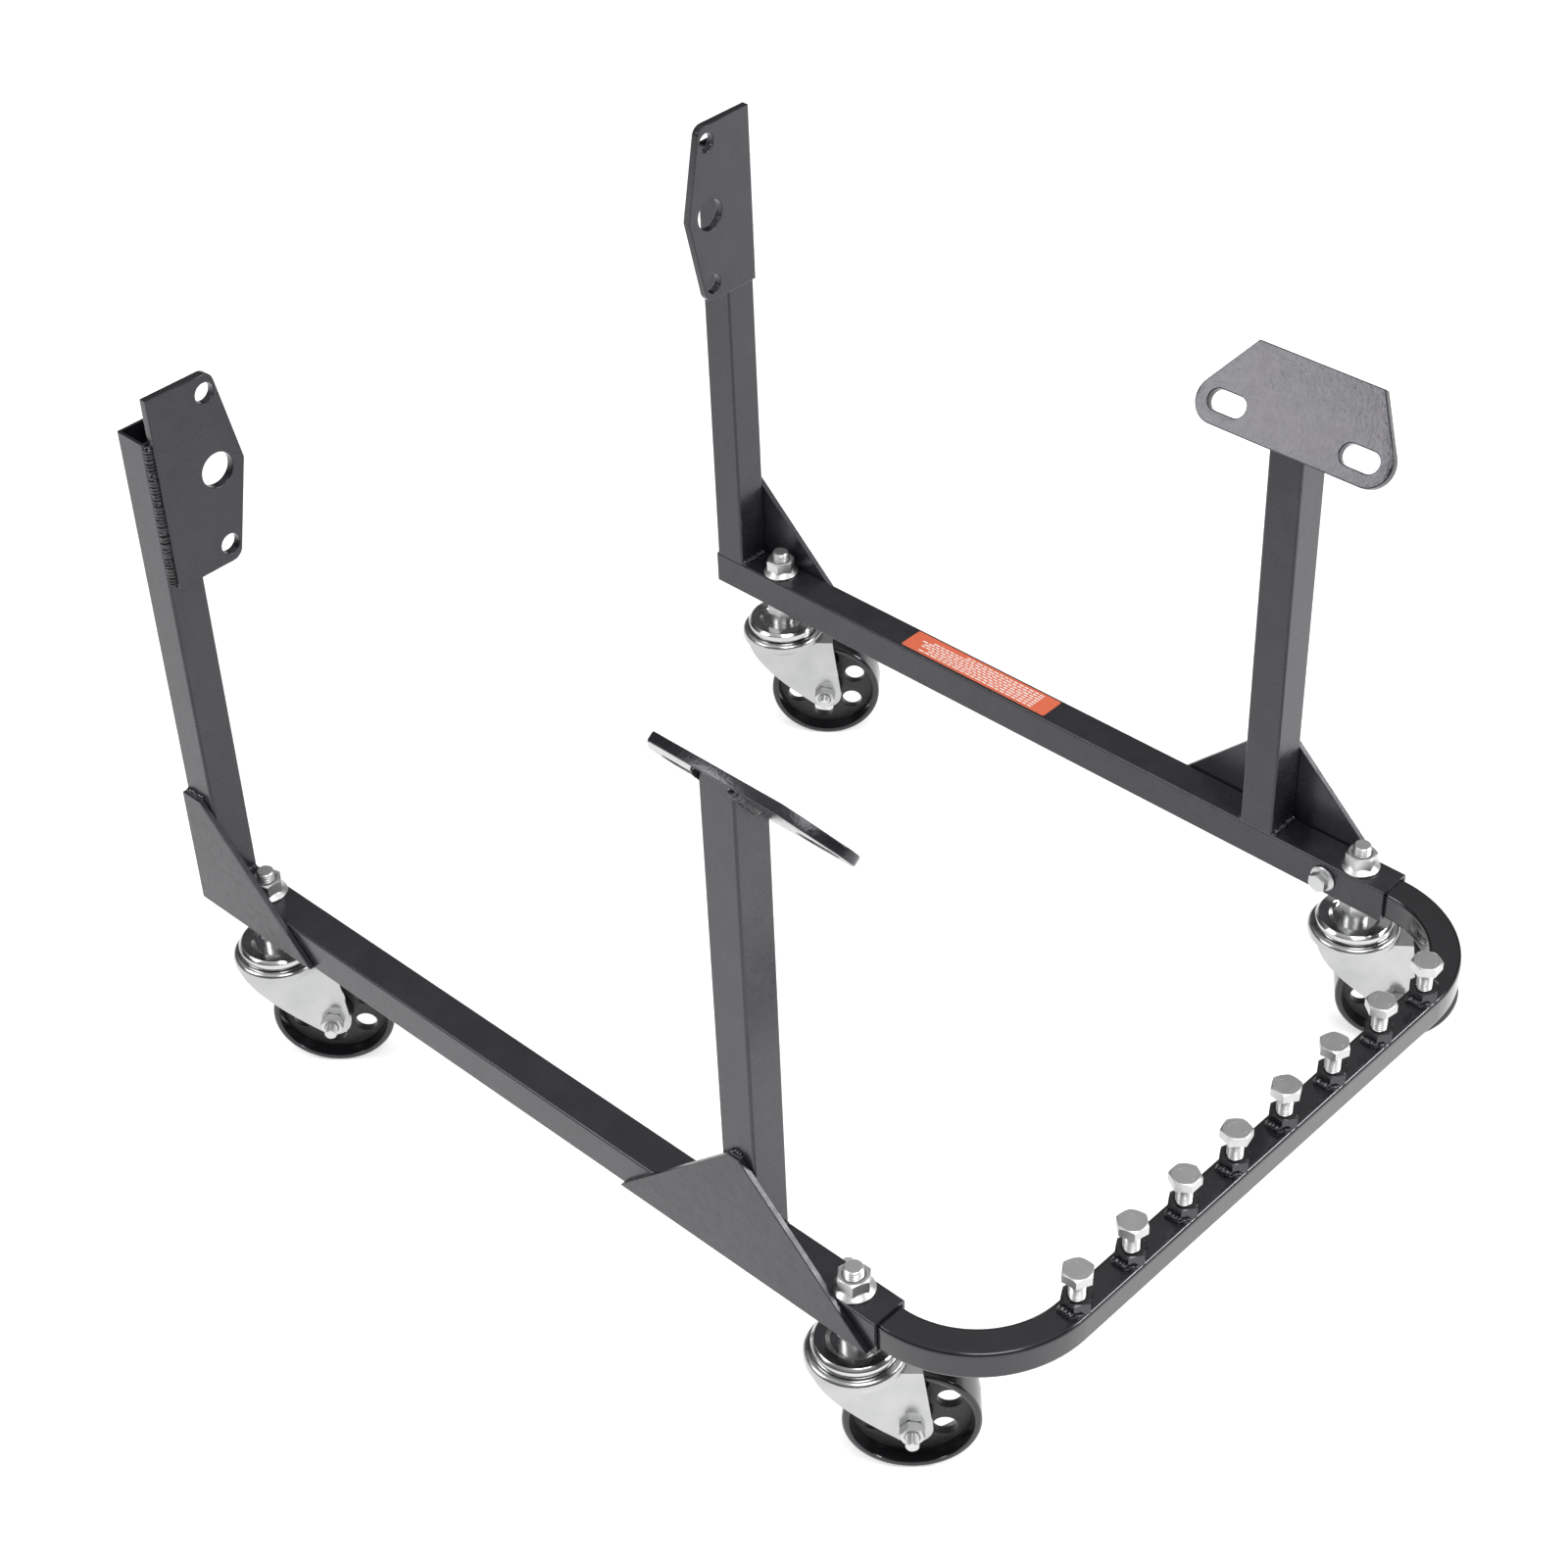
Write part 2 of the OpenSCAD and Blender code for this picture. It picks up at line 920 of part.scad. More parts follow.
module wheel(i)
{
    r = wheel_d / 2;
    half = wheel_w / 2;
    color(IRON)
        stand()
            swivelled(i)
                translate([trail, 0, axle_z])
                    rotate([90, 0, 0])
                        difference()
                        {
                            rotate_extrude()
                                polygon([[spacer_r + run_gap, -hub_half], [hub_r, -hub_half],
                                    [hub_r + 1.5, -web_t / 2], [r - rim_t - 2, -web_t / 2],
                                    [r - rim_t, -half], [r - tread_round, -half],
                                    [r, tread_round - half], [r, half - tread_round],
                                    [r - tread_round, half], [r - rim_t, half],
                                    [r - rim_t - 2, web_t / 2], [hub_r + 1.5, web_t / 2],
                                    [hub_r, hub_half], [spacer_r + run_gap, hub_half]]);
                            for (k = [0:web_holes - 1])
                                rotate([0, 0, web_phase + 360 * k / web_holes])
                                    translate([web_pitch, 0, -web_t])
                                        cylinder(h = 2 * web_t, r = web_hole_r);
                        }
}

module wheel_fl() wheel(FL);
module wheel_rl() wheel(RL);
module wheel_fr() wheel(FR);
module wheel_rr() wheel(RR);

left_rail();
right_rail();
rear_post_left();
rear_post_right();
front_post_left();
front_post_right();
front_gusset_left();
front_gusset_right();
rear_gusset_left();
rear_gusset_right();
bell_plate_left();
bell_plate_right();
mount_plate_left();
mount_plate_right();
u_tube();
weld_nuts();
storage_bolts();
lock_bolts();
lock_nuts();
label();
welds_left();
welds_right();
nut_welds();
stems();
stem_nuts();
race_cap_fl();
race_cap_rl();
race_cap_fr();
race_cap_rr();
fork_fl();
fork_rl();
fork_fr();
fork_rr();
balls_fl();
balls_rl();
balls_fr();
balls_rr();
axle_bolt_fl();
axle_bolt_rl();
axle_bolt_fr();
axle_bolt_rr();
axle_nut_fl();
axle_nut_rl();
axle_nut_fr();
axle_nut_rr();
spacer_fl();
spacer_rl();
spacer_fr();
spacer_rr();
wheel_fl();
wheel_rl();
wheel_fr();
wheel_rr();
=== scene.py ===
import json
import math

import bmesh
import bpy
import mathutils.geometry
import mathutils.noise
from mathutils import Matrix, Vector


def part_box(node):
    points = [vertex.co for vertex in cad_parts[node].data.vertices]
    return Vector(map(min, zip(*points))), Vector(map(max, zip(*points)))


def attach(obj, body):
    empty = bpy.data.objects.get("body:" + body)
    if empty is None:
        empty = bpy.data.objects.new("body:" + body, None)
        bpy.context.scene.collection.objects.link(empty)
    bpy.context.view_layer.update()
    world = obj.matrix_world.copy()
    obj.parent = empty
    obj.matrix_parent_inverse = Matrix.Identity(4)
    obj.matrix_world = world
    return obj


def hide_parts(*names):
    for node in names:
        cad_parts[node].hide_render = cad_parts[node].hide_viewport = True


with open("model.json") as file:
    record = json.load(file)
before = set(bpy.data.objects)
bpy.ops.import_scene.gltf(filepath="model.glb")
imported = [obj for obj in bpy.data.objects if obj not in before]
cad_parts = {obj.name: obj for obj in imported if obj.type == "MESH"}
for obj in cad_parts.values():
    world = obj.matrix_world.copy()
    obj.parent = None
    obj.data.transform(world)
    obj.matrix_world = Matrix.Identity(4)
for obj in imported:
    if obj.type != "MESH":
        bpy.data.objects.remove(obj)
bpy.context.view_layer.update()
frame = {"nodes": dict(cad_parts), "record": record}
NODES = frame["nodes"]
JOINTS = {j["name"]: j for j in frame["record"]["behaviour"]["joints"]}
CASTERS = ("fl", "rl", "fr", "rr")
SIDES = {"left": -1, "right": 1}
UP = Vector((0, 0, 1))
MM = 0.001
SLOPE = math.radians(53)  # of the front plates, from level
PLATE = 6 * MM            # thickness of the four plates
STORED_AF = 17 * MM       # stored bolts and their nuts, across flats
AXLE_AF = 13 * MM         # axle bolts and nuts, across flats
CHEEK = 16.5 * MM         # from a wheel's middle to the outside of its fork
NOISE_SPAN = (0.3, 0.7)   # where most of a noise texture's values lie


# ---------- materials ----------
def new_material(name, color, metallic=0.0, roughness=0.5, coat=0.0, coat_roughness=0.1):
    m = bpy.data.materials.new(name)
    m.use_nodes = True
    b = m.node_tree.nodes["Principled BSDF"]
    b.inputs["Base Color"].default_value = (*color, 1)
    b.inputs["Metallic"].default_value = metallic
    b.inputs["Roughness"].default_value = roughness
    b.inputs["Coat Weight"].default_value = coat
    b.inputs["Coat Roughness"].default_value = coat_roughness
    return m


def noise(m, scale, detail, roughness=0.55):
    """A noise texture on the piece's own coordinates; scale is in features per metre."""
    co = m.node_tree.nodes.new("ShaderNodeTexCoord")
    t = m.node_tree.nodes.new("ShaderNodeTexNoise")
    t.inputs["Scale"].default_value = scale
    t.inputs["Detail"].default_value = detail
    t.inputs["Roughness"].default_value = roughness
    m.node_tree.links.new(co.outputs["Object"], t.inputs["Vector"])
    return t.outputs["Fac"]


def spread(m, value, low, high):
    """A noise value mapped to low..high."""
    r = m.node_tree.nodes.new("ShaderNodeMapRange")
    r.inputs["From Min"].default_value, r.inputs["From Max"].default_value = NOISE_SPAN
    r.inputs["To Min"].default_value = low
    r.inputs["To Max"].default_value = high
    m.node_tree.links.new(value, r.inputs["Value"])
    return r.outputs["Result"]


def tint(m, value, a, b):
    """The base colour as a ramp from a to b, driven by a noise value."""
    r = m.node_tree.nodes.new("ShaderNodeValToRGB")
    for e, place, color in zip(r.color_ramp.elements, NOISE_SPAN, (a, b)):
        e.position = place
        e.color = (*color, 1)
    m.node_tree.links.new(value, r.inputs["Fac"])
    m.node_tree.links.new(r.outputs["Color"], shader(m).inputs["Base Color"])


def shader(m):
    return m.node_tree.nodes["Principled BSDF"]


def bumps(m, layers):
    """Stacks bump layers (height, strength, distance in metres) on the normal."""
    n = m.node_tree.nodes
    link = m.node_tree.links
    last = None
    for height, strength, distance in layers:
        b = n.new("ShaderNodeBump")
        b.inputs["Strength"].default_value = strength
        b.inputs["Distance"].default_value = distance
        link.new(height, b.inputs["Height"])
        if last:
            link.new(last, b.inputs["Normal"])
        last = b.outputs["Normal"]
    link.new(last, shader(m).inputs["Normal"])


def rough(m, value):
    """Drives the roughness by a value."""
    m.node_tree.links.new(value, shader(m).inputs["Roughness"])


def powder_coat(name, peel, gloss, cloud=0.08):
    """Satin black powder coat with orange peel; peel is the bump's depth."""
    m = new_material(name, (0.012, 0.012, 0.014), 0, gloss, 0.2, 0.2)
    cool_black(m, 0.42)
    tint(m, noise(m, 55, 5), (0.009, 0.009, 0.011), (0.016, 0.0155, 0.019))
    rough(m, spread(m, noise(m, 160, 6), gloss - cloud, gloss + cloud))
    bumps(m, [(noise(m, 420, 2), 0.55, peel), (noise(m, 1500, 2), 0.35, peel * 0.4)])
    return m


def cool_black(m, level):
    """Reflections off the black paint are slightly violet."""
    shader(m).inputs["Specular IOR Level"].default_value = level
    shader(m).inputs["Specular Tint"].default_value = (0.95, 0.92, 1.0, 1)


def gloss_black(name):
    """Smooth black paint, slightly wavy."""
    m = new_material(name, (0.006, 0.006, 0.007), 0, 0.16, 0.4, 0.07)
    cool_black(m, 0.4)
    tint(m, noise(m, 40, 4), (0.005, 0.005, 0.006), (0.009, 0.009, 0.010))
    rough(m, spread(m, noise(m, 90, 5), 0.11, 0.24))
    bumps(m, [(noise(m, 210, 2), 0.3, 0.00022), (noise(m, 900, 2), 0.25, 0.00006)])
    return m


def zinc(name, low, high, tone, grain=0.25):
    """Bright zinc plate: gloss clouded between two roughnesses, fine grain and faint grey stains."""
    m = new_material(name, (tone, tone, tone), 1, (low + high) / 2)
    tint(m, noise(m, 45, 4), (tone * 0.86, tone * 0.87, tone * 0.88), (tone, tone, tone * 0.99))
    rough(m, spread(m, noise(m, 110, 5), low, high))
    bumps(m, [(noise(m, 900, 3), grain, 0.00003), (noise(m, 3200, 2), grain, 0.000012)])
    return m


def cast_black(name):
    """Black paint over a sand casting."""
    m = new_material(name, (0.010, 0.010, 0.011), 0, 0.4, 0.15, 0.25)
    tint(m, noise(m, 300, 5), (0.007, 0.007, 0.008), (0.016, 0.016, 0.017))
    rough(m, spread(m, noise(m, 500, 5), 0.28, 0.55))
    bumps(m, [(noise(m, 600, 6, 0.7), 0.9, 0.0007), (noise(m, 1800, 3), 0.5, 0.0002)])
    return m


def sticker(name, color):
    """Printed film with a satin face."""
    m = new_material(name, color, 0, 0.35, 0.3, 0.15)
    tint(m, noise(m, 180, 4), tuple(c * 0.92 for c in color), color)
    rough(m, spread(m, noise(m, 300, 3), 0.28, 0.42))
    bumps(m, [(noise(m, 500, 2), 0.2, 0.00005)])
    return m


MAT = {
    "coat": powder_coat("powder_coat_tube", 0.00008, 0.26, 0.05),
    "plate": powder_coat("powder_coat_plate", 0.00032, 0.20, 0.03),
    "gusset": powder_coat("powder_coat_gusset", 0.00018, 0.33),
    "gloss": gloss_black("gloss_black"),
    "bolt": zinc("zinc_bolt", 0.32, 0.46, 0.59, 0.5),
    "fork": zinc("zinc_fork", 0.17, 0.28, 0.48),
    "race": zinc("zinc_race", 0.10, 0.20, 0.58),
    "steel": zinc("plain_steel", 0.3, 0.5, 0.55),
    "cast": cast_black("cast_black"),
    "tread": gloss_black("tread_black"),
    "orange": sticker("label_orange", (0.66, 0.13, 0.06)),
    "white": sticker("label_print", (0.85, 0.80, 0.76)),
}


# ---------- mesh building ----------
class Shape:
    """Vertices and faces of one piece, with a material number for each face."""

    def __init__(self):
        self.verts = []
        self.faces = []
        self.mats = []

    def skin(self, rings, place=Matrix.Identity(4), mat=0, closed=False):
        """Joins rings of equally many points; the ends are capped unless the rings close on themselves."""
        base = len(self.verts)
        n = len(rings[0])
        self.verts += [place @ Vector(p) for ring in rings for p in ring]
        turns = len(rings) if closed else len(rings) - 1
        for i in range(turns):
            a = base + i * n
            b = base + (i + 1) % len(rings) * n
            for k in range(n):
                q = (k + 1) % n
                self.faces.append((a + k, a + q, b + q, b + k))
        if not closed:
            self.faces.append(tuple(range(base + n - 1, base - 1, -1)))
            self.faces.append(tuple(range(base + (len(rings) - 1) * n, base + len(rings) * n)))
        self.mats += [mat] * (len(self.faces) - len(self.mats))

    def build(self, name, mats, body, nodes, sharp=35):
        """Makes the piece: closed mesh, outward faces, riding on its CAD body in place of CAD nodes."""
        me = bpy.data.meshes.new(name)
        me.from_pydata([tuple(v) for v in self.verts], [], self.faces)
        for m in mats:
            me.materials.append(MAT[m])
        me.polygons.foreach_set("material_index", self.mats)
        bm = bmesh.new()
        bm.from_mesh(me)
        bmesh.ops.recalc_face_normals(bm, faces=bm.faces)
        bm.to_mesh(me)
        bm.free()
        me.shade_smooth()
        me.set_sharp_from_angle(angle=math.radians(sharp))
        o = bpy.data.objects.new(name, me)
        bpy.context.collection.objects.link(o)
        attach(o, body)
        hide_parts(*nodes)
        return o


def weighted(o):
    """Flat faces stay flat in the shading; only the rounded edges turn."""
    w = o.modifiers.new("normals", "WEIGHTED_NORMAL")
    w.keep_sharp = True
    w.weight = 80


def soften(o, width):
    """Rounds a piece's edges."""
    b = o.modifiers.new("bevel", "BEVEL")
    b.width = width
    b.segments = 2
    b.limit_method = "ANGLE"
    b.angle_limit = math.radians(35)
    weighted(o)


def circle(r, z, n):
    return [(r * math.cos(2 * math.pi * k / n), r * math.sin(2 * math.pi * k / n), z) for k in range(n)]


def lathe(profile, n=48):
    """Rings for a turned solid; profile is (radius, height) from one end to the other."""
    return [circle(r, z, n) for r, z in profile]


def lathe_mm(profile, start=0.0, n=48):
    """The same for a profile in millimetres, with its zero at height start."""
    return lathe([(r * MM, start + z * MM) for r, z in profile], n)


def hex_rings(af, height, low=True, hole=0.0):
    """A bolt head or nut with its top corners chamfered, and its lower ones if low, and a chamfered hole.

    The flats face 0, 60, 120 degrees and so on."""
    n = 72
    turned = 0.475 * af
    chamfer = math.tan(math.radians(30))
    lead = 0.7 * MM
    rings = [[], [], [], []]
    for k in range(n):
        a = 2 * math.pi * k / n
        off = (math.degrees(a) + 30) % 60 - 30
        r = af / 2 / math.cos(math.radians(off))
        drop = max(0.0, r - turned) * chamfer
        for ring, radius, z in zip(rings, (turned if low else r, r, r, turned),
                                   (0, drop if low else 0.02 * MM, height - drop, height)):
            ring.append((radius * math.cos(a), radius * math.sin(a), z))
    if hole:
        rings = ([circle(hole, lead, n), circle(hole + lead, 0, n)] + rings
                 + [circle(hole + lead, height, n), circle(hole, height - lead, n)])
    return rings


def thread_rings(r, pitch, z0, z1, tip_up=False):
    """A threaded rod from z0 to z1, with a lead-in chamfer at its top if tip_up, or else at its bottom."""
    n = 32
    steps = 8
    depth = 0.60 * pitch
    count = max(2, round((z1 - z0) / pitch * steps))
    rings = []
    for i in range(count + 1):
        z = z0 + (z1 - z0) * i / count
        end = (z1 - z) if tip_up else (z - z0)
        ring = []
        for k in range(n):
            phase = (z / pitch - k / n) % 1.0
            cut = min(1.0, max(0.0, 1.45 * abs(2 * phase - 1) - 0.2))
            radius = min(r - depth * cut, r - depth + end)
            ring.append((radius * math.cos(2 * math.pi * k / n), radius * math.sin(2 * math.pi * k / n), z))
        rings.append(ring)
    return rings


def weld(shape, a, b, u, v, r, seed):
    """A weld bead from a to b in the corner of two faces; u and v point from the corner along the faces.

    Its ripples wander along the bead, it tapers at both ends, and its root is sunk in the corner."""
    step, lumps, end = 0.45 * MM, 2.3 * MM, 2.2 * MM
    sides = 6
    a, b, u, v = Vector(a), Vector(b), Vector(u).normalized(), Vector(v).normalized()
    length = (b - a).length
    count = max(8, round(length / step))
    root = -0.5 * MM * (u + v)
    rings = []
    for i in range(count + 1):
        t = i / count
        s = t * length
        wander = noise_at((s / (4 * MM), seed, 0))
        scallop = abs(math.sin(math.pi * s / lumps + 1.5 * wander))
        taper = min(1.0, 0.25 + min(s, length - s) / end) ** 0.5
        size = r * taper * (0.80 + 0.16 * scallop + 0.16 * wander)
        p = a + (b - a) * t
        ring = [p + root]
        for k in range(sides + 1):
            f = math.radians(-6 + 102 * k / sides)
            swell = 1 + 0.10 * noise_at((s / (1.6 * MM), seed, 3 + k))
            ring.append(p + (math.cos(f) * u + math.sin(f) * v) * size * swell)
        rings.append(ring)
    shape.skin(rings)


def noise_at(p):
    return mathutils.noise.noise(Vector(p))


def islands(node):
    """(lowest corner, highest corner) of each separate solid of a CAD node, from left to right."""
    me = NODES[node].data
    found = {}
    spot = [found.setdefault(tuple(round(c, 6) for c in v.co), len(found)) for v in me.vertices]
    up = list(range(len(found)))

    def root(i):
        while up[i] != i:
            up[i] = up[up[i]]
            i = up[i]
        return i

    for p in me.polygons:
        for v in p.vertices:
            up[root(spot[v])] = root(spot[p.vertices[0]])
    groups = {}
    for place, i in found.items():
        groups.setdefault(root(i), []).append(place)
    boxes = [(Vector([min(c) for c in zip(*g)]), Vector([max(c) for c in zip(*g)])) for g in groups.values()]
    return sorted(boxes, key=lambda b: (round(b[0].x, 3), round(b[0].y, 3)))


def middle(box):
    return (box[0] + box[1]) / 2


# ---------- plates ----------
def ccw(points):
    area = sum(a[0] * b[1] - b[0] * a[1] for a, b in zip(points, points[1:] + points[:1]))
    return points if area > 0 else points[::-1]


def inset(points, d):
    """The closed outline moved left by d: an outer outline shrinks and a hole, drawn clockwise, grows."""
    n = len(points)
    sharpest = 0.5
    moved = []
    for i, (x, y) in enumerate(points):
        a = Vector((x - points[i - 1][0], y - points[i - 1][1])).normalized()
        b = Vector((points[(i + 1) % n][0] - x, points[(i + 1) % n][1] - y)).normalized()
        m = Vector((-a.y - b.y, a.x + b.x)).normalized()
        reach = d / max(sharpest, m.dot(Vector((-a.y, a.x))))
        moved.append((x + m.x * reach, y + m.y * reach))
    return moved


def slab(shape, outer, holes, thickness, place, edge=0.7 * MM, mat=0):
    """A flat plate with holes and rounded edges, from z = -thickness to 0 in the frame given by place."""
    loops = [ccw(outer)] + [ccw(h)[::-1] for h in holes]
    near = 0.3 * edge
    levels = [(edge, 0), (near, -near), (0, -edge), (0, edge - thickness), (near, near - thickness),
              (edge, -thickness)]
    starts = []
    for loop in loops:
        starts.append(len(shape.verts))
        for d, z in levels:
            shape.verts += [place @ Vector((x, y, z)) for x, y in inset(loop, d)]
        n = len(loop)
        for i in range(len(levels) - 1):
            a = starts[-1] + i * n
            for k in range(n):
                q = (k + 1) % n
                shape.faces.append((a + k, a + q, a + n + q, a + n + k))
    flat = [[Vector((x, y, 0)) for x, y in inset(loop, edge)] for loop in loops]
    top = [start + k for start, loop in zip(starts, loops) for k in range(len(loop))]
    drop = [len(loop) * (len(levels) - 1) for loop in loops for _ in loop]
    for tri in mathutils.geometry.tessellate_polygon(flat):
        shape.faces.append(tuple(top[i] for i in tri))
        shape.faces.append(tuple(top[i] + drop[i] for i in reversed(tri)))
    shape.mats += [mat] * (len(shape.faces) - len(shape.mats))


def arc(cx, cy, r, a0, a1, n=14):
    angles = [math.radians(a0 + (a1 - a0) * k / n) for k in range(n + 1)]
    return [(cx + r * math.cos(a), cy + r * math.sin(a)) for a in angles]


def round_hole(cx, cy, d, n=40):
    return arc(cx, cy, d / 2, 0, 360 * (n - 1) / n, n - 1)


def tangent_angle(p, c, r):
    """Where round the circle at c the line from p touches it, on its upper side, in degrees."""
    dx, dy = c[0] - p[0], c[1] - p[1]
    length = math.hypot(dx, dy)
    a = math.atan2(dy, dx) - math.asin(r / length)
    reach = math.sqrt(length * length - r * r)
    return math.degrees(math.atan2(p[1] + reach * math.sin(a) - c[1], p[0] + reach * math.cos(a) - c[0]))


def axes(x, y, z, place):
    """A frame with the given axes at the given place."""
    m = Matrix((x, y, z)).transposed().to_4x4()
    m.translation = place
    return m


def plate(name, outline, holes, place):
    """Builds one of the four coated plates in place of its CAD node."""
    shape = Shape()
    slab(shape, outline, holes, PLATE, place)
    weighted(shape.build(f"{name}_look", ["plate"], "frame", [name], sharp=60))


def bell_plate(side):
    """Upright rear plate: five straight edges, two rounded corners, one large and two small holes."""
    s = SIDES[side]
    lo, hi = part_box(f"bell_plate_{side}")
    width, half = hi.x - lo.x, (hi.z - lo.z) / 2
    holes_in = 40.5 * MM
    dowel_d, bolt_d, bolt_up = 22.5 * MM, 13.2 * MM, 52.5 * MM
    corner_r = 8 * MM
    corner_up = half - corner_r
    turn = tangent_angle((width, 0), (holes_in, corner_up), corner_r)
    outline = ([(0, -half)] + arc(holes_in, -corner_up, corner_r, -90, -turn) + [(width, 0)]
               + arc(holes_in, corner_up, corner_r, turn, 90) + [(0, half)])
    holes = [round_hole(holes_in, 0, dowel_d)]
    holes += [round_hole(holes_in, y, bolt_d) for y in (-bolt_up, bolt_up)]
    outer = hi.x if s > 0 else lo.x
    plate(f"bell_plate_{side}", outline, holes,
          axes(Vector((-s, 0, 0)), Vector((0, 0, 1)), Vector((0, -1, 0)), (outer, lo.y, (lo.z + hi.z) / 2)))


def mount_plate(side):
    """Sloping front plate with two rounded ears and a slot in each."""
    s = SIDES[side]
    lo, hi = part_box(f"mount_plate_{side}")
    length, top_half = 57.4 * MM, 44.5 * MM
    down = 42 * MM
    ear_y, ear_r = 54.25 * MM, length - down
    slot_y, slot_r = 47.5 * MM, 6.75 * MM
    turn = tangent_angle((0, -top_half), (down, -ear_y), ear_r)
    outline = ([(0, -top_half)] + arc(down, -ear_y, ear_r, turn, 0) + arc(down, ear_y, ear_r, 0, -turn)
               + [(0, top_half)])
    slots = [arc(down, y + slot_r, slot_r, 0, 180, 18) + arc(down, y - slot_r, slot_r, 180, 360, 18)
             for y in (-slot_y, slot_y)]
    x_axis = Vector((-s * math.cos(SLOPE), 0, -math.sin(SLOPE)))
    z_axis = Vector((-s * math.sin(SLOPE), 0, math.cos(SLOPE)))
    outer = hi.x if s > 0 else lo.x
    plate(f"mount_plate_{side}", outline, slots,
          axes(x_axis, z_axis.cross(x_axis), z_axis,
               (outer - s * PLATE * math.sin(SLOPE), (lo.y + hi.y) / 2, hi.z)))


# ---------- fasteners ----------
def storage_bolts():
    """Fully threaded hex bolts parked in the welded nuts, with plain raised marks on their heads."""
    head, washer_r, core_r = 6.4 * MM, 7.6 * MM, 4.2 * MM
    marks_r = 5.2 * MM
    bolts = Shape()
    nuts = Shape()
    nut_low, nut_top = (corner.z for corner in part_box("weld_nuts"))
    for i, (lo, hi) in enumerate(islands("storage_bolts")):
        c = middle((lo, hi))
        seat = Matrix.Translation((c.x, c.y, hi.z - head))
        turned = seat @ Matrix.Rotation(math.radians(13 * i + 4), 4, "Z")
        bolts.skin(hex_rings(STORED_AF, head, low=False), turned)
        bolts.skin(lathe([(washer_r, -0.4 * MM), (washer_r, 0.1 * MM)]), seat)
        shank = Matrix.Translation((c.x, c.y, 0))
        bolts.skin(thread_rings(5 * MM, 1.5 * MM, nut_top - 2 * MM, hi.z - head), shank)
        bolts.skin(lathe([(core_r, lo.z), (core_r, nut_top - 1 * MM)]), shank)
        nuts.skin(hex_rings(STORED_AF, nut_top - nut_low, low=False, hole=5.1 * MM),
                  Matrix.Translation((c.x, c.y, nut_low)))
        for angle in (4, 30, 56, 184, 210, 236):
            spot = Matrix.Rotation(math.radians(angle), 4, "Z") @ Matrix.Translation((marks_r, 0, head))
            mark = lathe([(0.62 * MM, -0.1 * MM), (0.5 * MM, 0.18 * MM)], 8)
            bolts.skin(mark, turned @ spot @ Matrix.Diagonal((1, 2.4, 1, 1)))
    bolts.build("storage_bolts_look", ["bolt"], "frame", ["storage_bolts"], sharp=25)
    nuts.build("weld_nuts_look", ["gloss"], "frame", ["weld_nuts"], sharp=25)


def nut_spatter():
    """The rough bead on the left side of each storage nut, with a smaller one round its front corner."""
    beads = Shape()
    for i, nut in enumerate(islands("weld_nuts")):
        c = middle(nut)
        flat, low = c.x - STORED_AF / 2, nut[0].z
        weld(beads, (flat, c.y + 6 * MM, low), (flat, c.y - 6 * MM, low), (-1, 0, 0), UP, 3.6 * MM, 11 + i)
        weld(beads, (flat + 5 * MM, c.y - 8.3 * MM, low), (flat, c.y - 5 * MM, low), (-0.5, -0.87, 0), UP,
             2.2 * MM, 31 + i)
    beads.build("nut_welds_look", ["gloss"], "frame", ["nut_welds"], sharp=60)


def stems_and_nuts():
    """Threaded stems through the rails with flanged nuts on top and a hex boss under each rail."""
    thread_r, core_r, neck_r, pivot_r = 6 * MM, 5.4 * MM, 9 * MM, 6 * MM
    boss, nut_up, cap_dish = 10 * MM, 1.5 * MM, 2.6 * MM
    riveted = [(9, 0), (10, 0.8), (10, 3.6)]
    flange = [(11.9, 0), (12.4, 0.5), (12.4, 1.3), (11.7, 2.0), (9.6, 3.4), (8.6, 4.6)]
    stems = Shape()
    nuts = Shape()
    rail_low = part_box("left_rail")[0].z
    bottom, top = (corner.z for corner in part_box("stems"))
    for i, (lo, hi) in enumerate(islands("stem_nuts")):
        c = middle((lo, hi))
        at = Matrix.Translation((c.x, c.y, 0))
        turn = Matrix.Rotation(math.radians(17 * i + 8), 4, "Z")
        stems.skin(thread_rings(thread_r, 1.75 * MM, hi.z - 3 * MM, top, tip_up=True), at)
        stems.skin(lathe([(core_r, rail_low - 4 * MM), (core_r, hi.z - 1 * MM)]), at)
        stems.skin(hex_rings(19 * MM, boss), Matrix.Translation((c.x, c.y, rail_low - boss)) @ turn)
        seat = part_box(f"race_cap_{nearest_caster(c)}")[1].z - cap_dish
        stems.skin(lathe([(pivot_r, bottom + 3 * MM), (pivot_r, seat), (neck_r, seat),
                          (neck_r, rail_low - boss + 0.5 * MM)]), at)
        stems.skin(lathe_mm(riveted, bottom), at)
        nuts.skin(lathe_mm(flange, lo.z, 64), at)
        nuts.skin(hex_rings(18 * MM, hi.z - lo.z - nut_up, low=False, hole=6.2 * MM),
                  Matrix.Translation((c.x, c.y, lo.z + nut_up)) @ turn)
    stems.build("stems_look", ["bolt"], "frame", ["stems"], sharp=25)
    nuts.build("stem_nuts_look", ["bolt"], "frame", ["stem_nuts"], sharp=25)


def nearest_caster(c):
    return min(CASTERS, key=lambda n: (Vector(JOINTS[f"swivel_{n}"]["pos_m"]).xy - c.xy).length)


def sideways(place, direction):
    """A frame whose local Z points along the given direction."""
    return Matrix.Translation(place) @ Vector(direction).to_track_quat("Z", "Y").to_matrix().to_4x4()


